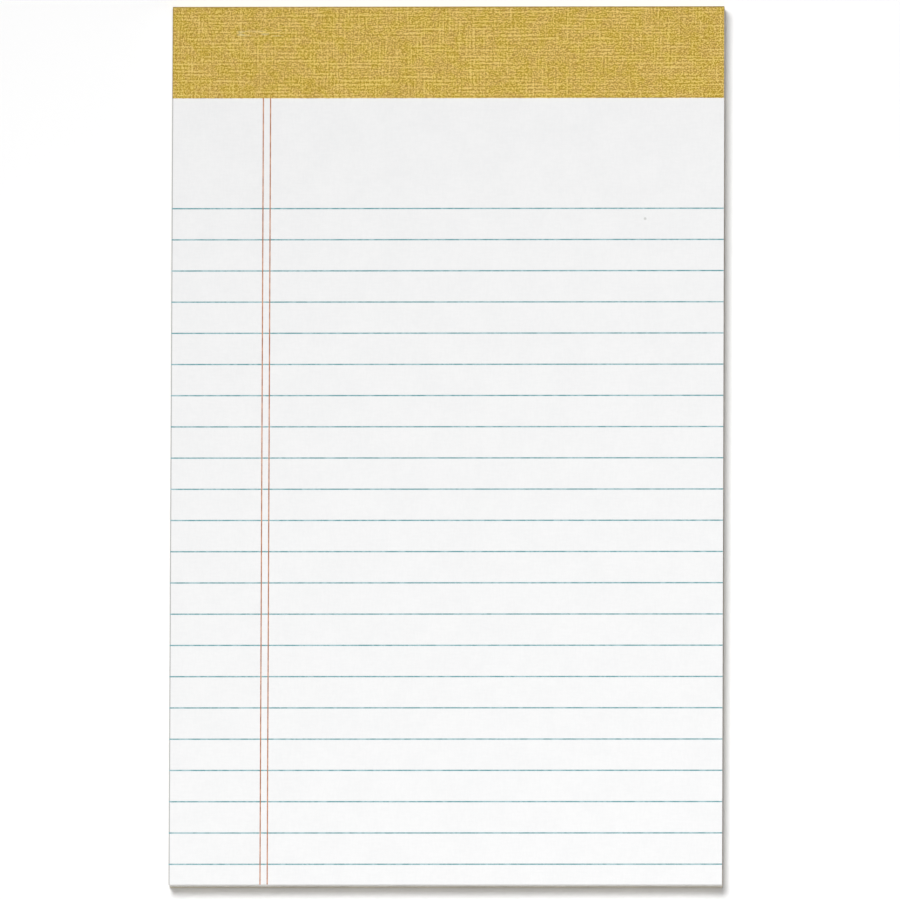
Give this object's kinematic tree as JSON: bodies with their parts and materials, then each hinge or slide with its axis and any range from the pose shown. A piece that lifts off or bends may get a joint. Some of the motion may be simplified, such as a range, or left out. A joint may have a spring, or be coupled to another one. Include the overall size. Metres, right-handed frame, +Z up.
{
  "type": "legal pad",
  "caption": "Flat top-bound writing pad with a linen-grained head strip, ruled lines, a margin pair and a chipboard back, for handwritten notes.",
  "frame": {"origin": "middle of the pad's outline, on the plane that it lies on", "axes": "+X across the pad to the reader's right, +Y from the foot to the bound head, +Z up out of the top sheet"},
  "size_m": [0.127, 0.2032, 0.0066],
  "materials": {
    "page_paper": "matte",
    "chipboard": "matte",
    "linen_strip": "matte",
    "staple_wire": "satin",
    "blue_ink": "matte",
    "margin_ink": "matte"
  },
  "bodies": {
    "root": {"page_block": "page_paper", "backing_board": "chipboard", "binding_strip": "linen_strip", "staple_left": "staple_wire", "staple_right": "staple_wire", "blue_ruling": "blue_ink", "margin_lines": "margin_ink"}
  },
  "joints": []
}
